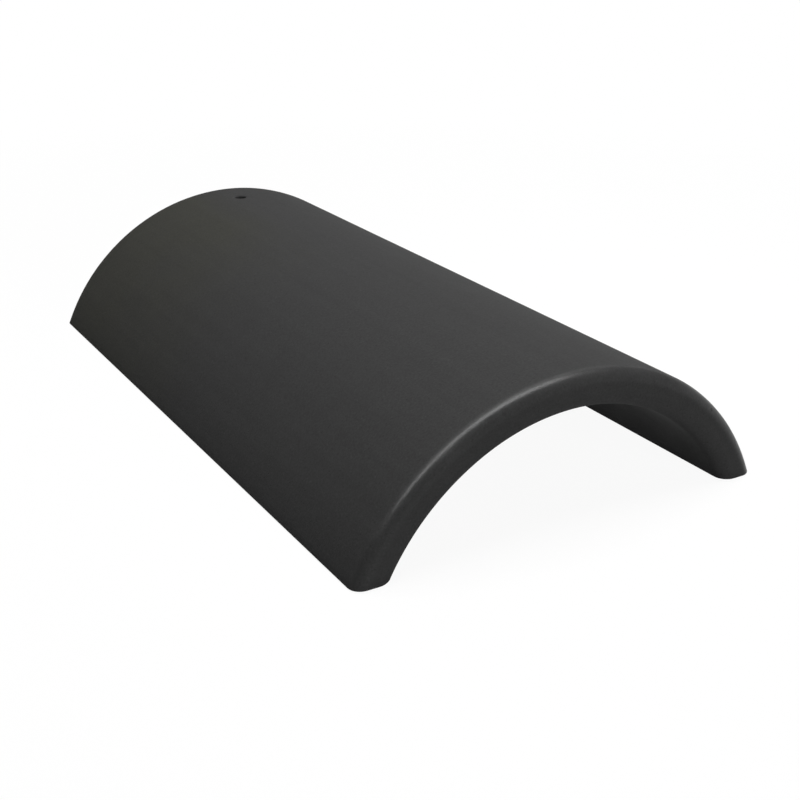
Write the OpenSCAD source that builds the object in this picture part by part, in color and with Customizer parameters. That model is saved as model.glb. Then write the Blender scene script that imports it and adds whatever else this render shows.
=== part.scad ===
// Segmental ridge tile in fired clay, lying on its two long edges.
// The ridge line runs along Y. The rounded nose faces -Y and the plain end, with the nail hole, faces +Y.
// The origin is the middle of the footprint, on the surface that the tile rests on.

/* [Tile] */
// Overall length along the ridge
tile_length = 420; // [300:5:500]
// Overall width across the two feet, before their edges are eased
tile_width = 248; // [190:2:320]
// Height of the crown above the surface that the tile rests on
tile_height = 83; // [60:1:92]
// Thickness of the wall, the same all round the arch
wall = 20; // [12:0.5:28]

/* [Nose] */
// Radius between the outer surface and the front face
nose_radius = 7; // [2:0.5:14]
// Radius between the front face and the hollow
mouth_radius = 7.5; // [1:0.5:10]

/* [Plain end] */
// Radius round both edges of the end that the next tile covers
plain_end_radius = 3; // [0.5:0.5:6]

/* [Feet] */
// Depth of the flat that eases each long edge of the feet
foot_ease = 1; // [0.5:0.5:3]

/* [Nail hole] */
// Diameter of the hole through the crown
nail_hole_diameter = 8; // [4:0.5:14]
// Distance from the plain end to the middle of the hole
nail_hole_inset = 30; // [15:1:60]
// Depth of the sloping rim round the hole's top
nail_hole_rim = 1; // [0.5:0.5:3]

/* [Hidden] */
$fn = 120;
slack = 5;
clay_colour = [0.27, 0.27, 0.26];
half_width = tile_width / 2;
outer_radius = (half_width * half_width + tile_height * tile_height) / (2 * tile_height);
inner_radius = outer_radius - wall;
arc_drop = outer_radius - tile_height;
inner_half_width = sqrt(inner_radius * inner_radius - arc_drop * arc_drop);
outer_lean = asin(arc_drop / outer_radius);
inner_lean = asin(arc_drop / inner_radius);

// What a rounding of the given radius takes off a corner whose solid lies towards -X and +Y.
module corner_waste(radius) {
    difference() {
        translate([-radius, -slack]) square([radius + slack, radius + slack]);
        translate([-radius, radius]) circle(radius);
    }
}

// The wall cut lengthways, with its distance from the arch's axis along X and the tile's length along Y.
module wall_profile() {
    nose = min(nose_radius, wall / 2);
    mouth = min(mouth_radius, wall / 2);
    difference() {
        translate([inner_radius, 0]) square([wall, tile_length]);
        translate([outer_radius, 0]) corner_waste(nose);
        translate([inner_radius, 0]) mirror([1, 0]) corner_waste(mouth);
        translate([outer_radius, tile_length]) mirror([0, 1]) corner_waste(plain_end_radius);
        translate([inner_radius, tile_length]) mirror([1, 0]) mirror([0, 1]) corner_waste(plain_end_radius);
    }
}

// The profile turned right round the arch's axis, which lies below the feet.
module full_ring() {
    translate([0, -tile_length / 2, -arc_drop])
        rotate([-90, 0, 0])
            rotate_extrude() wall_profile();
}

// Everything above the level of the feet.
module above_feet() {
    translate([-half_width - slack, -tile_length / 2 - slack, 0])
        cube([tile_width + 2 * slack, tile_length + 2 * slack, tile_height + slack]);
}

// The half plane that eases a foot's edge at the given place, turned square to the edge's bisector.
module edge_waste(place, turn) {
    translate([place, 0])
        rotate(turn)
            translate([-slack, foot_ease - 2 * slack])
                square(2 * slack);
}

// What is planed off the four long edges of the feet.
module foot_waste() {
    rotate([90, 0, 0])
        linear_extrude(height = tile_length + 2 * slack, center = true)
            for (side = [0, 1])
                mirror([side, 0]) {
                    edge_waste(half_width, 45 + outer_lean / 2);
                    edge_waste(inner_half_width, inner_lean / 2 - 45);
                }
}

// The nail hole, with its rim sloping out to the crown.
module nail_hole() {
    translate([0, tile_length / 2 - nail_hole_inset, 0]) {
        cylinder(h = tile_height + slack, d = nail_hole_diameter);
        translate([0, 0, tile_height - nail_hole_rim])
            cylinder(h = 2 * nail_hole_rim, d1 = nail_hole_diameter, d2 = nail_hole_diameter + 4 * nail_hole_rim);
    }
}

module ridge_tile() {
    color(clay_colour)
        difference() {
            intersection() {
                full_ring();
                above_feet();
            }
            foot_waste();
            nail_hole();
        }
}

ridge_tile();
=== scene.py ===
"""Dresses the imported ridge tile: its fired clay body, its dark finish, the studio and the camera."""

import logging
import math
from dataclasses import dataclass, field
from enum import Enum

import bmesh
import bpy
from mathutils import Matrix, Quaternion, Vector, noise

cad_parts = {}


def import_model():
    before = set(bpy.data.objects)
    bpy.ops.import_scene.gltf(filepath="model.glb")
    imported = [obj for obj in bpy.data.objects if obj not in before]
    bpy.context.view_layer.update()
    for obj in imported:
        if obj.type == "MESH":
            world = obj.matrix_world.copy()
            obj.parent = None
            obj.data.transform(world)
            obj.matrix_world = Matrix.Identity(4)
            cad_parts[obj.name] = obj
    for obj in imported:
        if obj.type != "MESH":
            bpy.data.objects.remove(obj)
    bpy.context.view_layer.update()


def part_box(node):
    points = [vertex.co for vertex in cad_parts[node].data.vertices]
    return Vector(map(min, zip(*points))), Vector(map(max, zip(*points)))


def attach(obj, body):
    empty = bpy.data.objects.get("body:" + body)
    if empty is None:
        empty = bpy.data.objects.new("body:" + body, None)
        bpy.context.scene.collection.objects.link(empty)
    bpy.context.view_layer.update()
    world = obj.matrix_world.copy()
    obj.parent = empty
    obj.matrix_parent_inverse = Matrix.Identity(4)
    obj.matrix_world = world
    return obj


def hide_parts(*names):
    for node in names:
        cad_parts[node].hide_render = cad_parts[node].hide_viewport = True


LOG = logging.getLogger("ridge_tile")
QUARTER_TURN = math.radians(90.0)

# The vertex layer that says how much a point lies on a rounding.
ROUNDING = "rounding"

# Points that lie within this distance of the floor lie on it, in metres.
FLUSH = 1e-6

# Points that lie within this distance of one another are one point, in metres.
SAME_POINT = 1e-5

Colour = tuple[float, float, float]
Point = tuple[float, float, float]
Span = tuple[float, float]
Socket = bpy.types.NodeSocket

# From off to on, from on to off, and the usual values of a cloudy noise.
OFF_TO_ON: Span = (0.0, 1.0)
ON_TO_OFF: Span = (1.0, 0.0)
USUAL: Span = (0.3, 0.7)


class Blend(Enum):
    """How one colour is laid over another."""

    MIX = "MIX"
    MULTIPLY = "MULTIPLY"


class Sum(Enum):
    """How two numbers are joined."""

    MULTIPLY = "MULTIPLY"
    SUBTRACT = "SUBTRACT"
    MAXIMUM = "MAXIMUM"


class Skin(Enum):
    """The two faces of the tile's wall."""

    OUTER = "outer"
    INNER = "inner"


class Lit(Enum):
    """What a lamp lights: whether a surface's own colour takes its light, and whether its gloss does."""

    BODY = (True, False)
    GLOSS = (False, True)


@dataclass(frozen=True)
class Cloud:
    """A cloudy noise.

    Attributes:
        per_metre: How many lumps it has to a metre.
        detail: How many finer octaves it has.
        rough: How strong the finer octaves are.
    """

    per_metre: float
    detail: float
    rough: float = 0.5


@dataclass
class NodeBench:
    """A small bench for wiring a node tree.

    Attributes:
        tree: The node tree that is being wired.
    """

    tree: bpy.types.NodeTree

    def add(self, kind: str, **settings: object) -> bpy.types.Node:
        """Adds one node.

        Args:
            kind: The node's type name.
            **settings: Attributes to set on the new node.

        Returns:
            The new node.
        """
        node = self.tree.nodes.new(kind)
        for name, value in settings.items():
            setattr(node, name, value)
        return node

    def feed(self, socket: Socket, value: object) -> None:
        """Joins another socket to an input, or sets the input to a fixed value.

        Args:
            socket: The input socket.
            value: An output socket, a number or a colour.
        """
        if isinstance(value, bpy.types.NodeSocket):
            self.tree.links.new(value, socket)
        else:
            socket.default_value = value

    def place(self) -> Socket:
        """Returns the point on the object that is being shaded, in metres."""
        return self.add("ShaderNodeTexCoord").outputs["Object"]

    def stretched(self, place: Socket, scale: Point) -> Socket:
        """Stretches the pattern's space.

        Args:
            place: The point that a pattern reads.
            scale: How densely the pattern runs along X, Y and Z.

        Returns:
            The stretched point.
        """
        mapping = self.add("ShaderNodeMapping")
        self.feed(mapping.inputs["Vector"], place)
        mapping.inputs["Scale"].default_value = scale
        return mapping.outputs["Vector"]

    def split(self, place: Socket) -> bpy.types.NodeOutputs:
        """Splits a point into its X, Y and Z.

        Args:
            place: The point to split.

        Returns:
            The outputs "X", "Y" and "Z".
        """
        node = self.add("ShaderNodeSeparateXYZ")
        self.feed(node.inputs[0], place)
        return node.outputs

    def cloud(self, place: Socket, cloud: Cloud) -> Socket:
        """Adds a cloudy noise.

        Args:
            place: The point that the noise reads.
            cloud: The kind of noise.

        Returns:
            The noise's value, mostly within USUAL.
        """
        node = self.add("ShaderNodeTexNoise")
        self.feed(node.inputs["Vector"], place)
        node.inputs["Scale"].default_value = cloud.per_metre
        node.inputs["Detail"].default_value = cloud.detail
        node.inputs["Roughness"].default_value = cloud.rough
        return node.outputs["Fac"]

    def span(self, value: Socket, start: Span, end: Span) -> Socket:
        """Maps one range of values to another and clamps it there.

        Args:
            value: The value to map.
            start: The range that the value is in.
            end: The range that it is mapped to.

        Returns:
            The mapped value.
        """
        node = self.add("ShaderNodeMapRange", clamp=True)
        self.feed(node.inputs["Value"], value)
        limits = dict(zip(("From Min", "From Max", "To Min", "To Max"), (*start, *end)))
        for name, limit in limits.items():
            node.inputs[name].default_value = limit
        return node.outputs["Result"]

    def laid(self, blend: Blend, share: object, under: object, over: object) -> Socket:
        """Lays one colour over another.

        Args:
            blend: How the two colours meet.
            share: How much of the upper colour shows.
            under: The lower colour.
            over: The upper colour.

        Returns:
            The joined colour.
        """
        node = self.add("ShaderNodeMix", data_type="RGBA", blend_type=blend.value)
        factor, first, second = node.inputs[0], node.inputs[6], node.inputs[7]
        for socket, value in ((factor, share), (first, under), (second, over)):
            self.feed(socket, (*value, 1.0) if isinstance(value, tuple) and len(value) == 3 else value)
        return node.outputs[2]

    def joined(self, rule: Sum, first: object, second: object) -> Socket:
        """Joins two numbers.

        Args:
            rule: How they are joined.
            first: The first number.
            second: The second number.

        Returns:
            The result.
        """
        node = self.add("ShaderNodeMath", operation=rule.value)
        self.feed(node.inputs[0], first)
        self.feed(node.inputs[1], second)
        return node.outputs[0]

    def relief(self, height: Socket, depth: float, under: Socket | None = None) -> Socket:
        """Turns a height pattern into a bumped normal.

        Args:
            height: The pattern.
            depth: The height of a full step of the pattern, in metres.
            under: A normal that is already bumped, if there is one.

        Returns:
            The bumped normal.
        """
        node = self.add("ShaderNodeBump")
        self.feed(node.inputs["Height"], height)
        node.inputs["Strength"].default_value = 1.0
        node.inputs["Distance"].default_value = depth
        if under is not None:
            self.feed(node.inputs["Normal"], under)
        return node.outputs["Normal"]

    def both(self, first: Socket, second: Socket) -> Socket:
        """Adds the light of two shaders.

        Args:
            first: The first shader.
            second: The second shader.

        Returns:
            The shader that gives the light of both.
        """
        node = self.add("ShaderNodeAddShader")
        self.feed(node.inputs[0], first)
        self.feed(node.inputs[1], second)
        return node.outputs[0]

    def either(self, choice: Socket, first: Socket, second: Socket) -> Socket:
        """Picks one of two shaders.

        Args:
            choice: 0 for the first shader and 1 for the second.
            first: The first shader.
            second: The second shader.

        Returns:
            The shader that was picked.
        """
        node = self.add("ShaderNodeMixShader")
        for socket, value in zip(node.inputs, (choice, first, second)):
            self.feed(socket, value)
        return node.outputs[0]


@dataclass(frozen=True)
class ClayPatterns:
    """The patterns that the clay's finish is made of, wired in one node tree.

    Attributes:
        place: The point on the tile that is being shaded.
        patches: Broad patches.
        mottle: Soft blotches.
        grain: Fine grains.
        drag: Faint drag lines along the tile.
        sand: Sand grains at its high values and pits at its low ones.
    """

    place: Socket
    patches: Socket
    mottle: Socket
    grain: Socket
    drag: Socket
    sand: Socket


@dataclass(frozen=True)
class DarkClayFinish:
    """The matt dark slip that covers the fired clay.

    Attributes:
        name: The material's name.
        body: Colour of most of the surface.
        warm: Colour of the faintly olive patches on the flank near the plain end.
        warm_along: Where along the tile the olive patches begin and are at their full strength.
        warm_across: Where across the tile they begin to fade and are gone.
        warm_patch: Values of a broad patch between which its olive fades in.
        painted_shade_band: Heights between which the painted shade along the feet's lower edges, where they
            meet the floor, fades out.
        painted_shade_keep: How much of the body's brightness that painted shade keeps.
        patches: The broad patches.
        mottle: The soft blotches.
        grain: The fine grains.
        drag: The faint drag lines, counted across the tile.
        drag_stretch: How densely the drag lines run along X, Y and Z beside that count.
        sand: The sand grains and the pits.
        mottle_shade: How much the blotches lighten and darken the body.
        grain_shade: How much the fine grains do.
        drag_shade: How much the drag lines do.
        sand_band: Values of the sand between which a bare grain fades in.
        sand_light: How bright a bare sand grain is beside the body.
        pit_band: Values of the sand between which a pit fades out.
        pit_dark: How bright a pit is beside the body.
        smoothest: Roughness where the slip lies thick.
        roughest: Roughness where it lies thin.
        burnished: Roughness on the roundings, which are rubbed smooth in the making.
        gloss: Level of the gloss; 0.5 is that of clear glaze.
        mottle_depth: Height of the blotches in the relief.
        pit_depth: Depth of the pits.
        drag_depth: Height of the drag lines.
        grain_depth: Height of the fine grains.
    """

    name: str = "dark_clay"
    body: Colour = (0.046, 0.046, 0.046)
    warm: Colour = (0.047, 0.047, 0.041)
    warm_along: Span = (0.0, 0.19)
    warm_across: Span = (-0.04, 0.0)
    warm_patch: Span = (0.0, 0.4)
    # Painted shade along the feet's lower edges, darker towards the floor.
    painted_shade_band: Span = (0.001, 0.007)
    painted_shade_keep: float = 0.85
    patches: Cloud = Cloud(14.0, 2.0)
    mottle: Cloud = Cloud(55.0, 4.0, 0.6)
    grain: Cloud = Cloud(900.0, 2.0, 0.6)
    drag: Cloud = Cloud(160.0, 3.0)
    drag_stretch: Point = (1.0, 0.03, 1.0)
    sand: Cloud = Cloud(1000.0, 0.0)
    mottle_shade: float = 0.05
    grain_shade: float = 0.10
    drag_shade: float = 0.03
    sand_band: Span = (0.70, 0.78)
    sand_light: float = 1.12
    pit_band: Span = (0.20, 0.28)
    pit_dark: float = 0.84
    smoothest: float = 0.84
    roughest: float = 0.94
    burnished: float = 0.36
    gloss: float = 0.07
    mottle_depth: float = 0.0002
    pit_depth: float = 0.00003
    drag_depth: float = 0.00008
    grain_depth: float = 0.00004

    def wire_patterns(self, bench: NodeBench) -> ClayPatterns:
        """Wires the patterns.

        Args:
            bench: The bench of the material's tree.

        Returns:
            The patterns.
        """
        place = bench.place()
        return ClayPatterns(
            place=place,
            patches=bench.cloud(place, self.patches),
            mottle=bench.cloud(place, self.mottle),
            grain=bench.cloud(place, self.grain),
            drag=bench.cloud(bench.stretched(place, self.drag_stretch), self.drag),
            sand=bench.cloud(place, self.sand),
        )

    def wire_colour(self, bench: NodeBench, patterns: ClayPatterns) -> Socket:
        """Wires the surface's colour, with painted shade along the feet's lower edges.

        Args:
            bench: The bench of the material's tree.
            patterns: The patterns.

        Returns:
            The colour.
        """
        sides = bench.split(patterns.place)
        plain_end = bench.span(sides["Y"], self.warm_along, OFF_TO_ON)
        flank = bench.span(sides["X"], self.warm_across, ON_TO_OFF)
        area = bench.joined(Sum.MULTIPLY, plain_end, flank)
        warmth = bench.joined(Sum.MULTIPLY, area, patterns.patches)
        colour = bench.laid(Blend.MIX, bench.span(warmth, self.warm_patch, OFF_TO_ON), self.body, self.warm)
        # Painted shade: the colour darkens within a few millimetres of the floor, where shade falls; the
        # marks after it are the clay's own tones.
        shades = [bench.span(sides["Z"], self.painted_shade_band, (self.painted_shade_keep, 1.0))]
        for pattern, depth in (
            (patterns.mottle, self.mottle_shade),
            (patterns.grain, self.grain_shade),
            (patterns.drag, self.drag_shade),
        ):
            shades.append(bench.span(pattern, USUAL, (1.0 - depth, 1.0 + depth)))
        shades.append(bench.span(patterns.sand, self.sand_band, (1.0, self.sand_light)))
        shades.append(bench.span(patterns.sand, self.pit_band, (self.pit_dark, 1.0)))
        for shade in shades:
            colour = bench.laid(Blend.MULTIPLY, 1.0, colour, shade)
        return colour

    def wire_roughness(self, bench: NodeBench, patterns: ClayPatterns) -> Socket:
        """Wires the surface's roughness, which is lower on the roundings.

        Args:
            bench: The bench of the material's tree.
            patterns: The patterns.

        Returns:
            The roughness.
        """
        rounding = bench.add("ShaderNodeAttribute", attribute_name=ROUNDING).outputs["Fac"]
        slip = bench.span(patterns.mottle, USUAL, (self.smoothest, self.roughest))
        rubbed = bench.joined(Sum.MULTIPLY, rounding, self.roughest - self.burnished)
        return bench.joined(Sum.SUBTRACT, slip, rubbed)

    def wire_relief(self, bench: NodeBench, patterns: ClayPatterns) -> Socket:
        """Wires the surface's relief.

        Args:
            bench: The bench of the material's tree.
            patterns: The patterns.

        Returns:
            The bumped normal.
        """
        pits = bench.span(patterns.sand, self.pit_band, OFF_TO_ON)
        normal = bench.relief(patterns.mottle, self.mottle_depth)
        normal = bench.relief(pits, self.pit_depth, normal)
        normal = bench.relief(patterns.drag, self.drag_depth, normal)
        return bench.relief(patterns.grain, self.grain_depth, normal)

    def build(self) -> bpy.types.Material:
        """Wires the finish.

        Returns:
            Its material.
        """
        material = bpy.data.materials.new(self.name)
        material.use_nodes = True
        bench = NodeBench(material.node_tree)
        shader = material.node_tree.nodes["Principled BSDF"]
        patterns = self.wire_patterns(bench)
        bench.feed(shader.inputs["Base Color"], self.wire_colour(bench, patterns))
        bench.feed(shader.inputs["Roughness"], self.wire_roughness(bench, patterns))
        bench.feed(shader.inputs["Normal"], self.wire_relief(bench, patterns))
        shader.inputs["Specular IOR Level"].default_value = self.gloss
        return material


@dataclass(frozen=True)
class Corner:
    """A rounded corner of the wall's outline.

    Attributes:
        radius: Its radius.
        segments: How many facets it has.
    """

    radius: float
    segments: int


@dataclass(frozen=True)
class Lumps:
    """One size of lump in the hand-set surface.

    Attributes:
        per_metre: How many lumps there are to a metre.
        share: How much of the whole wandering they make.
    """

    per_metre: float
    share: float


@dataclass
class RidgeTile:
    """The fired clay tile, turned about the axis of its arch and cut off level at the feet.

    Attributes:
        low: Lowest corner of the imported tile.
        high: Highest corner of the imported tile.
        foot_width: Width across the feet before their edges are eased.
        wall: Thickness of the wall.
        nose: Rounding between the outer skin and the front face.
        mouth: Rounding between the front face and the hollow.
        plain_end: Rounding of both edges of the plain end.
        foot_ease: Rounding of the feet's edges.
        foot_segments: How many facets that rounding has.
        nail_radius: Radius of the nail hole.
        nail_inset: Distance from the plain end to the middle of the hole.
        nail_rim: Width and depth of the hole's rounded rim.
        rim_segments: How many facets the rim has.
        turns: Number of strips that make up the arch.
        lengths: Number of cells along the tile.
        end_cuts: Number of cuts through the wall's thickness at each end.
        patch_cells: Half the width of the patch round the nail hole, in cells along the tile.
        patch_cuts: Number of cuts through each cell of that patch.
        sway: How far the hand-set surface wanders inwards.
        broad_lumps: The broad lumps of that wandering.
        small_lumps: The small lumps of it.
        resting_height: Height over which the wandering fades in above the floor.
        crisp_fold: The least fold, in degrees, that is shaded as a crisp edge.
        rounding_gain: How quickly the mark on a rounding reaches its full strength.
        finish: The finish over the whole tile.
    """

    low: Vector
    high: Vector
    foot_width: float = 0.248
    wall: float = 0.020
    nose: Corner = Corner(0.007, 12)
    mouth: Corner = Corner(0.0075, 8)
    plain_end: Corner = Corner(0.003, 6)
    foot_ease: float = 0.0014
    foot_segments: int = 4
    nail_radius: float = 0.004
    nail_inset: float = 0.030
    nail_rim: float = 0.001
    rim_segments: int = 4
    turns: int = 99
    lengths: int = 127
    end_cuts: int = 4
    patch_cells: float = 2.5
    patch_cuts: int = 2
    sway: float = 0.00015
    broad_lumps: Lumps = Lumps(14.0, 0.6)
    small_lumps: Lumps = Lumps(45.0, 0.4)
    resting_height: float = 0.004
    crisp_fold: float = 38.0
    rounding_gain: float = 3.0
    finish: DarkClayFinish = field(default_factory=DarkClayFinish)

    @property
    def length(self) -> float:
        """Length of the tile."""
        return self.high.y - self.low.y

    @property
    def height(self) -> float:
        """Height of the crown above the floor."""
        return self.high.z

    @property
    def outer_radius(self) -> float:
        """Radius of the outer skin, from its width and height."""
        half = self.foot_width / 2
        return (half * half + self.height * self.height) / (2 * self.height)

    @property
    def inner_radius(self) -> float:
        """Radius of the inner skin."""
        return self.outer_radius - self.wall

    @property
    def axis_point(self) -> Vector:
        """A point on the arch's axis, which lies below the feet."""
        return Vector((0.0, 0.0, self.height - self.outer_radius))

    @property
    def nail_y(self) -> float:
        """How far along the tile the nail hole is."""
        return self.high.y - self.nail_inset

    def skin_height(self, skin: Skin, x: float) -> float:
        """Finds the height of a skin of the wall.

        Args:
            skin: The outer or the inner skin.
            x: The distance from the ridge line.

        Returns:
            The skin's height above the floor there.
        """
        radius = self.outer_radius if skin is Skin.OUTER else self.inner_radius
        return math.sqrt(radius * radius - x * x) + self.axis_point.z

    def draw_wall(self, bm: bmesh.types.BMesh) -> None:
        """Draws the wall's outline at the crown, with its corners rounded.

        Args:
            bm: The empty mesh to draw in.
        """
        middle = self.height - self.wall / 2
        sized = Matrix.Diagonal((self.wall, self.length, 1.0, 1.0))
        upright = Matrix.Rotation(-QUARTER_TURN, 4, "Y")
        placed = Matrix.Translation((0, 0, middle)) @ upright @ sized
        bmesh.ops.create_grid(bm, x_segments=1, y_segments=1, size=0.5, matrix=placed)
        corners = {(math.copysign(1, v.co.y), math.copysign(1, v.co.z - middle)): v for v in bm.verts}
        roundings = {
            (-1, 1): self.nose,
            (-1, -1): self.mouth,
            (1, 1): self.plain_end,
            (1, -1): self.plain_end,
        }
        for place, corner in roundings.items():
            bmesh.ops.bevel(
                bm, geom=[corners[place]], offset=corner.radius, offset_type="OFFSET",
                segments=corner.segments, profile=0.5, affect="VERTICES", clamp_overlap=False, material=-1,
            )
        bmesh.ops.delete(bm, geom=bm.faces[:], context="FACES_ONLY")
        sides = [e for e in bm.edges if e.calc_length() > self.wall / 4]
        skins = [e for e in sides if e.calc_length() > self.length / 2]
        ends = [e for e in sides if e not in skins]
        bmesh.ops.subdivide_edges(bm, edges=skins, cuts=self.lengths - 1)
        bmesh.ops.subdivide_edges(bm, edges=ends, cuts=self.end_cuts)

    def turn_arch(self, bm: bmesh.types.BMesh) -> None:
        """Turns the outline about the arch's axis, from past one foot to past the other.

        Args:
            bm: The mesh that holds the outline.
        """
        foot_angle = math.acos(-self.axis_point.z / self.outer_radius)
        reach = foot_angle * self.turns / (self.turns - 1)
        start = Matrix.Rotation(reach, 3, "Y")
        bmesh.ops.rotate(bm, verts=bm.verts, cent=self.axis_point, matrix=start)
        bmesh.ops.spin(
            bm, geom=bm.verts[:] + bm.edges[:], cent=self.axis_point, axis=(0, 1, 0), angle=-2 * reach,
            steps=self.turns, use_merge=False,
        )

    def level_feet(self, bm: bmesh.types.BMesh) -> None:
        """Cuts the arch off level, closes its two feet and eases their edges.

        Args:
            bm: The mesh that holds the arch.
        """
        everything = bm.verts[:] + bm.edges[:] + bm.faces[:]
        bmesh.ops.bisect_plane(
            bm, geom=everything, dist=FLUSH, plane_co=(0, 0, 0), plane_no=(0, 0, 1), clear_inner=True
        )
        bmesh.ops.remove_doubles(bm, verts=bm.verts, dist=SAME_POINT)
        bmesh.ops.holes_fill(bm, edges=[e for e in bm.edges if e.is_boundary], sides=0)
        bmesh.ops.recalc_face_normals(bm, faces=bm.faces)
        self.clear_slivers(bm)
        rims = [e for e in bm.edges if all(abs(v.co.z) < FLUSH for v in e.verts)]
        bmesh.ops.bevel(
            bm, geom=rims, offset=self.foot_ease, offset_type="OFFSET", segments=self.foot_segments,
            profile=0.5, affect="EDGES", clamp_overlap=False, material=-1,
        )

    def clear_slivers(self, bm: bmesh.types.BMesh) -> None:
        """Welds the points that lie too close to the feet's edges, so that the edges can be eased.

        Args:
            bm: The mesh that holds the arch, cut off level and closed.
        """
        rim = [v for v in bm.verts if abs(v.co.z) < FLUSH]
        bmesh.ops.remove_doubles(bm, verts=rim, dist=self.foot_ease / 3)
        near = self.foot_ease * 1.25
        welds = {}
        for vert in [v for v in bm.verts if FLUSH < v.co.z < near]:
            feet = [e.other_vert(vert) for e in vert.link_edges if abs(e.other_vert(vert).co.z) < FLUSH]
            feet = [f for f in feet if (f.co - vert.co).length < near]
            if feet:
                welds[vert] = min(feet, key=lambda f: (f.co - vert.co).length)
        bmesh.ops.weld_verts(bm, targetmap=welds)

    def hole_patch(self, bm: bmesh.types.BMesh, skin: Skin) -> list[bmesh.types.BMFace]:
        """Finds the faces of one skin that lie in the patch round the nail hole.

        Args:
            bm: The mesh that holds the tile.
            skin: The skin to look at.

        Returns:
            The patch's faces.
        """
        reach = self.patch_cells * self.length / self.lengths
        spread = reach if skin is Skin.OUTER else reach * self.inner_radius / self.outer_radius
        middle = self.skin_height(skin, 0.0)
        patch = []
        for face in bm.faces:
            centre = face.calc_center_median()
            near = abs(centre.x) < spread and abs(centre.y - self.nail_y) < reach
            if near and abs(centre.z - middle) < self.wall / 4:
                patch.append(face)
        return patch

    def open_skin(self, bm: bmesh.types.BMesh, skin: Skin, ring_radius: float) -> list[bmesh.types.BMEdge]:
        """Opens a round hole in one skin, where the nail goes through.

        Args:
            bm: The mesh that holds the tile.
            skin: The skin to open.
            ring_radius: The radius of the opening.

        Returns:
            The edges of the ring that bounds the opening.
        """
        middle = self.skin_height(skin, 0.0)
        edges = list({e for f in self.hole_patch(bm, skin) for e in f.edges})
        bmesh.ops.subdivide_edges(bm, edges=edges, cuts=self.patch_cuts, use_grid_fill=True)
        bmesh.ops.delete(bm, geom=self.hole_patch(bm, skin), context="FACES")
        square = [e for e in bm.edges if e.is_boundary and abs(e.verts[0].co.z - middle) < self.wall / 4]
        ring = bmesh.ops.create_circle(
            bm, cap_ends=False, segments=len(square), radius=ring_radius,
            matrix=Matrix.Translation((0, self.nail_y, middle)),
        )["verts"]
        for vert in ring:
            vert.co.z = self.skin_height(skin, vert.co.x)
        ring_edges = list({e for v in ring for e in v.link_edges})
        bmesh.ops.bridge_loops(bm, edges=square + ring_edges)
        return ring_edges

    def pierce_nail_hole(self, bm: bmesh.types.BMesh) -> None:
        """Makes the nail hole through the crown, with a rounded rim on its outer side.

        Args:
            bm: The mesh that holds the tile.
        """
        lower = self.open_skin(bm, Skin.INNER, self.nail_radius)
        upper = self.open_skin(bm, Skin.OUTER, self.nail_radius + self.nail_rim)
        for step in range(1, self.rim_segments + 1):
            angle = QUARTER_TURN * step / self.rim_segments
            radius = self.nail_radius + self.nail_rim * (1 - math.sin(angle))
            depth = self.nail_rim * (1 - math.cos(angle))
            grown = bmesh.ops.extrude_edge_only(bm, edges=upper)["geom"]
            upper = [g for g in grown if isinstance(g, bmesh.types.BMEdge)]
            for vert in {v for e in upper for v in e.verts}:
                away = Vector((vert.co.x, vert.co.y - self.nail_y, 0.0)).normalized() * radius
                top = self.skin_height(Skin.OUTER, away.x)
                vert.co = Vector((away.x, self.nail_y + away.y, top - depth))
        upper = [e for e in upper if e.is_boundary]
        bmesh.ops.bridge_loops(bm, edges=upper + [e for e in lower if e.is_valid])

    def wander(self, bm: bmesh.types.BMesh) -> None:
        """Lets the surface wander inwards by fractions of a millimetre, as pressed clay does.

        Args:
            bm: The mesh that holds the finished shape.
        """
        bm.normal_update()
        broad, small = self.broad_lumps, self.small_lumps
        moves = {}
        for vert in bm.verts:
            lump = noise.noise(vert.co * broad.per_metre) * broad.share
            lump += noise.noise(vert.co * small.per_metre) * small.share
            resting = min(1.0, max(0.0, vert.co.z / self.resting_height))
            moves[vert] = -vert.normal * self.sway * (0.5 + 0.5 * lump) * resting
        for vert, move in moves.items():
            vert.co += move

    def shade(self, bm: bmesh.types.BMesh) -> None:
        """Shades the skins smooth and keeps the true edges crisp.

        Args:
            bm: The mesh that holds the finished shape.
        """
        crisp = math.radians(self.crisp_fold)
        for face in bm.faces:
            face.smooth = True
        for edge in bm.edges:
            edge.smooth = len(edge.link_faces) == 2 and edge.calc_face_angle(0.0) < crisp

    def mark_roundings(self, bm: bmesh.types.BMesh) -> None:
        """Marks how much each point lies on a rounding between the outer skin and an end face.

        Args:
            bm: The mesh that holds the finished shape.
        """
        layer = bm.verts.layers.float.new(ROUNDING)
        middle = self.outer_radius - self.wall / 2
        for vert in bm.verts:
            along = abs(vert.normal.y)
            turning = min(1.0, self.rounding_gain * along * math.sqrt(max(0.0, 1 - along * along)))
            outside = (vert.co - self.axis_point - Vector((0.0, vert.co.y, 0.0))).length > middle
            hole = abs(vert.co.y - self.nail_y) < 2 * self.nail_radius
            vert[layer] = turning if outside and not hole else 0.0

    def build(self) -> bpy.types.Object:
        """Builds the tile and dresses it.

        Returns:
            The tile's object.
        """
        bm = bmesh.new()
        self.draw_wall(bm)
        self.turn_arch(bm)
        self.level_feet(bm)
        self.pierce_nail_hole(bm)
        bmesh.ops.recalc_face_normals(bm, faces=bm.faces)
        self.wander(bm)
        self.shade(bm)
        self.mark_roundings(bm)
        mesh = bpy.data.meshes.new("fired_ridge_tile")
        bm.to_mesh(mesh)
        bm.free()
        piece = bpy.data.objects.new("fired_ridge_tile", mesh)
        bpy.context.scene.collection.objects.link(piece)
        piece.data.materials.append(self.finish.build())
        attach(piece, "root")
        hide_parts("ridge_tile")
        return piece


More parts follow.
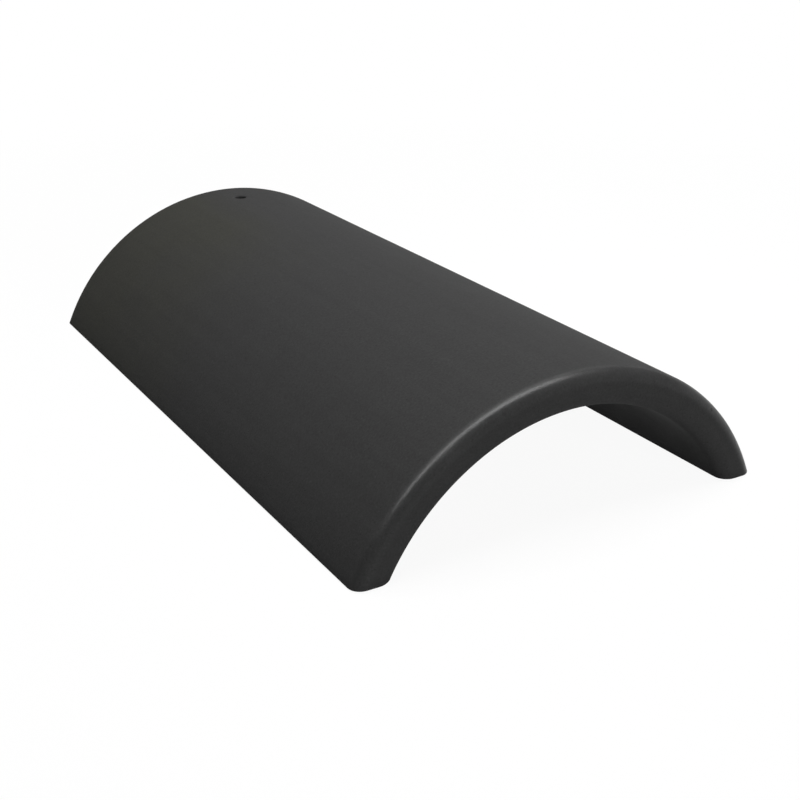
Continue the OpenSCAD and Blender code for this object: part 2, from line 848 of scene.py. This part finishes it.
@dataclass
class PhotoCamera:
    """The camera that looks at the tile as the photograph does.

    Attributes:
        azimuth: Degrees round the tile; 0 looks along +Y.
        elevation: Degrees above the horizon.
        roll: Degrees that the camera leans.
        distance: Distance to the point it looks at.
        aim: The point it looks at.
        focal_pixels: Focal length in pixels of the photograph.
        picture_pixels: Width of the photograph in pixels.
        film: Width of the film, in millimetres.
        nearest: The least distance that it sees.
        farthest: The greatest distance that it sees.
    """

    azimuth: float = -31.08
    elevation: float = 23.13
    roll: float = 0.49
    distance: float = 0.8109
    aim: Vector = field(default_factory=lambda: Vector((0.02603, 0.0, -0.01356)))
    focal_pixels: float = 1263.9
    picture_pixels: int = 800
    film: float = 36.0
    nearest: float = 0.01
    farthest: float = 50.0

    def build(self) -> bpy.types.Object:
        """Sets the camera up and makes it the scene's own.

        Returns:
            The camera.
        """
        turn, rise = math.radians(self.azimuth), math.radians(self.elevation)
        back = Vector((math.sin(turn) * math.cos(rise), -math.cos(turn) * math.cos(rise), math.sin(rise)))
        data = bpy.data.cameras.new("photo_camera")
        data.sensor_width = self.film
        data.lens = self.film * self.focal_pixels / self.picture_pixels
        data.clip_start = self.nearest
        data.clip_end = self.farthest
        camera = bpy.data.objects.new("photo_camera", data)
        bpy.context.scene.collection.objects.link(camera)
        camera.location = self.aim + back * self.distance
        camera.rotation_mode = "QUATERNION"
        lean = Quaternion((0.0, 0.0, 1.0), math.radians(self.roll))
        camera.rotation_quaternion = (-back).to_track_quat("-Z", "Y") @ lean
        bpy.context.scene.camera = camera
        return camera


@dataclass(frozen=True)
class Softbox:
    """One soft studio lamp.

    Attributes:
        name: The lamp's name.
        place: Where it hangs.
        aim: The point it faces.
        width: Its width.
        depth: Its depth.
        power: Its power in watts.
        lit: What it lights.
    """

    name: str
    place: Point
    aim: Point
    width: float
    depth: float
    power: float
    lit: Lit

    def build(self) -> bpy.types.Object:
        """Hangs the lamp.

        Returns:
            The lamp.
        """
        data = bpy.data.lights.new(self.name, "AREA")
        data.shape = "RECTANGLE"
        data.size = self.width
        data.size_y = self.depth
        data.energy = self.power
        lamp = bpy.data.objects.new(self.name, data)
        bpy.context.scene.collection.objects.link(lamp)
        lamp.visible_diffuse, lamp.visible_glossy = self.lit.value
        lamp.location = self.place
        lamp.rotation_mode = "QUATERNION"
        lamp.rotation_quaternion = (Vector(self.aim) - Vector(self.place)).to_track_quat("-Z", "Y")
        return lamp


@dataclass
class Studio:
    """The pale floor, the pale wall all round it and the lamps.

    Attributes:
        floor_size: Width of the floor.
        floor_colour: How pale the floor is to the light that falls on it.
        floor_glow: How much light the floor gives of itself to the tile's hollow.
        shadow_share: How much of the floor's white comes from the lamps, and so can fall into shadow.
        shadow_reach: How far from the tile the floor keeps that share, and where it is all gone.
        lamp_white: How white the lamps alone make a white floor, away from any shadow.
        dimness: Strength of the light from the dim room above the wall.
        wall_top: Heights of the wall's fading top edge, as the sine of the angle above the horizon.
        lamps: The soft lamps.
    """

    floor_size: float = 40.0
    floor_colour: float = 0.34
    floor_glow: float = 0.12
    shadow_share: float = 0.07
    shadow_reach: Span = (0.40, 0.90)
    lamp_white: float = 0.9
    dimness: float = 0.06
    wall_top: Span = (0.04, 0.16)
    lamps: tuple[Softbox, ...] = (
        Softbox("overhead_softbox", (0.23, -0.06, 1.60), (0.0, 0.0, 0.05), 1.0, 0.5, 22.4, Lit.BODY),
        Softbox("strip_softbox", (-0.50, -0.25, 1.45), (-0.5, -0.2, 0.05), 2.6, 0.55, 112.0, Lit.GLOSS),
        Softbox("front_softbox", (0.40, -3.00, 0.60), (0.0, 0.0, 0.05), 1.0, 1.0, 29.0, Lit.BODY),
        Softbox("back_softbox", (-0.60, 3.00, 0.80), (0.0, 0.0, 0.05), 1.0, 1.0, 12.0, Lit.BODY),
    )

    def mirrored(self, bench: NodeBench) -> Socket:
        """Tells whether a ray comes from a gloss or through a glass.

        Args:
            bench: The bench of the tree that asks.

        Returns:
            1 for such rays and 0 for all others.
        """
        path = bench.add("ShaderNodeLightPath")
        return bench.joined(Sum.MAXIMUM, path.outputs["Is Glossy Ray"], path.outputs["Is Transmission Ray"])

    def seen_or(self, bench: NodeBench, mirror: Socket) -> Socket:
        """Tells whether the camera sees a point, by itself or in a mirror.

        Args:
            bench: The bench of the tree that asks.
            mirror: How much a mirror shows of the point.

        Returns:
            1 for the camera's own rays, and what the mirror shows for all others.
        """
        path = bench.add("ShaderNodeLightPath")
        return bench.joined(Sum.MAXIMUM, path.outputs["Is Camera Ray"], mirror)

    def wire_lighting_floor(self, bench: NodeBench) -> Socket:
        """Wires the floor as the tile meets it: matt and pale, with a slight glow.

        Args:
            bench: The bench of the floor's tree.

        Returns:
            The shader.
        """
        matt = bench.add("ShaderNodeBsdfDiffuse")
        matt.inputs["Color"].default_value = (*([self.floor_colour] * 3), 1.0)
        lift = bench.add("ShaderNodeEmission")
        lift.inputs["Strength"].default_value = self.floor_glow
        return bench.both(matt.outputs[0], lift.outputs[0])

    def wire_seen_floor(self, bench: NodeBench) -> Socket:
        """Wires the floor as the camera sees it: white, with a faint shadow near the tile.

        Args:
            bench: The bench of the floor's tree.

        Returns:
            The shader.
        """
        away = bench.add("ShaderNodeVectorMath", operation="LENGTH")
        bench.feed(away.inputs[0], bench.place())
        share = bench.span(away.outputs["Value"], self.shadow_reach, (self.shadow_share, 0.0))
        lit = bench.add("ShaderNodeBsdfDiffuse")
        bench.feed(lit.inputs["Color"], share)
        from_lamps = bench.joined(Sum.MULTIPLY, share, self.lamp_white)
        glow = bench.add("ShaderNodeEmission")
        bench.feed(glow.inputs["Strength"], bench.joined(Sum.SUBTRACT, 1.0, from_lamps))
        return bench.both(lit.outputs[0], glow.outputs[0])

    def build_floor(self) -> bpy.types.Object:
        """Lays the floor, which is clear from below so that the tile's underside can be seen.

        Returns:
            The floor.
        """
        bm = bmesh.new()
        bmesh.ops.create_grid(bm, x_segments=1, y_segments=1, size=self.floor_size / 2)
        mesh = bpy.data.meshes.new("studio_floor")
        bm.to_mesh(mesh)
        bm.free()
        floor = bpy.data.objects.new("studio_floor", mesh)
        bpy.context.scene.collection.objects.link(floor)
        material = bpy.data.materials.new("studio_floor")
        material.use_nodes = True
        bench = NodeBench(material.node_tree)
        bench.tree.nodes.clear()
        seen = self.seen_or(bench, self.mirrored(bench))
        above = bench.either(seen, self.wire_lighting_floor(bench), self.wire_seen_floor(bench))
        from_below = bench.add("ShaderNodeNewGeometry").outputs["Backfacing"]
        clear = bench.add("ShaderNodeBsdfTransparent").outputs[0]
        surface = bench.add("ShaderNodeOutputMaterial").inputs["Surface"]
        bench.feed(surface, bench.either(from_below, above, clear))
        floor.data.materials.append(material)
        return floor

    def build_wall(self) -> None:
        """Sets the pale wall all round and the dim room above it."""
        world = bpy.data.worlds.new("studio_wall")
        bpy.context.scene.world = world
        world.use_nodes = True
        bench = NodeBench(world.node_tree)
        background = world.node_tree.nodes["Background"]
        background.inputs["Color"].default_value = (1.0, 1.0, 1.0, 1.0)
        upwards = bench.split(bench.add("ShaderNodeTexCoord").outputs["Generated"])["Z"]
        wall = bench.span(upwards, self.wall_top, ON_TO_OFF)
        seen = self.seen_or(bench, bench.joined(Sum.MULTIPLY, self.mirrored(bench), wall))
        bench.feed(background.inputs["Strength"], bench.span(seen, OFF_TO_ON, (self.dimness, 1.0)))

    def build(self) -> None:
        """Builds the floor, the wall and the lamps."""
        self.build_floor()
        self.build_wall()
        for lamp in self.lamps:
            lamp.build()


def triangles_of(piece: bpy.types.Object) -> int:
    """Counts a piece's triangles.

    Args:
        piece: The piece.

    Returns:
        How many triangles its faces make.
    """
    return sum(len(face.vertices) - 2 for face in piece.data.polygons)


def main() -> None:
    """Builds the tile, the studio and the camera in order."""
    logging.basicConfig(level=logging.INFO, format="%(name)s: %(message)s")
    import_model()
    low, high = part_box("ridge_tile")
    tile = RidgeTile(low, high).build()
    LOG.info("%s has %d triangles", tile.name, triangles_of(tile))
    Studio().build()
    LOG.info("the studio is lit")
    PhotoCamera().build()
    LOG.info("the camera is set")
    bpy.context.scene.view_settings.view_transform = "Standard"


if __name__ == "__main__":
    main()
